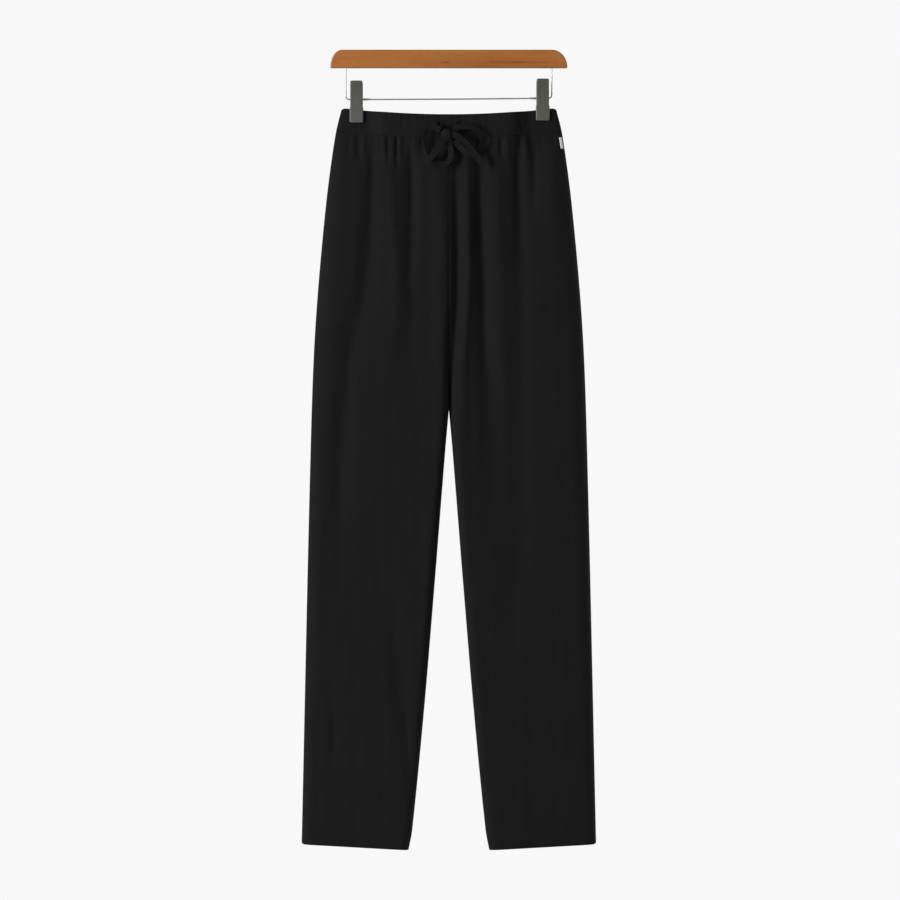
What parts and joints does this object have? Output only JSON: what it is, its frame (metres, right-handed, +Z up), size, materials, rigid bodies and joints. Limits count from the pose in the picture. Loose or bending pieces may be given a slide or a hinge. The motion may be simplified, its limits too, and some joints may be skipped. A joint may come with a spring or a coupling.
{
  "type": "drawstring trousers on a clip hanger",
  "caption": "Straight-leg trousers with a gathered elastic waist and a drawstring bow, hung flat by two spring clips from a wooden hanger bar.",
  "frame": {"origin": "the middle of the hanger bar's flat top, where the hanger is held", "axes": "+Z up along the hanging garment, -Y out of the front of the trousers, +X towards the wearer's left"},
  "size_m": [0.3976, 0.051, 1.079],
  "materials": {
    "cloth": "matte black fine weave",
    "tape": "matte black woven tape",
    "tag": "white satin label, blank",
    "wood": "satin varnished orange-brown wood",
    "wire": "satin grey steel",
    "clip": "satin grey lacquered steel",
    "pad": "matte dark rubber"
  },
  "bodies": {
    "root": {"front_left": "cloth", "front_right": "cloth", "back_left": "cloth", "back_right": "cloth", "waistband_front": "cloth", "waistband_back": "cloth", "side_tag": "tag", "drawstring_knot": "tape", "drawstring_lead_left": "tape", "drawstring_lead_right": "tape", "drawstring_loop_left": "tape", "drawstring_loop_right": "tape", "drawstring_tail_left": "tape", "drawstring_tail_right": "tape", "hanger_bar": "wood", "hanger_wire": "wire", "wire_collar_left": "wire", "wire_collar_right": "wire", "clip_left_front": "clip", "clip_left_back": "clip", "clip_left_spring": "wire", "clip_left_pad_front": "pad", "clip_left_pad_back": "pad", "clip_right_front": "clip", "clip_right_back": "clip", "clip_right_spring": "wire", "clip_right_pad_front": "pad", "clip_right_pad_back": "pad"}
  },
  "joints": []
}
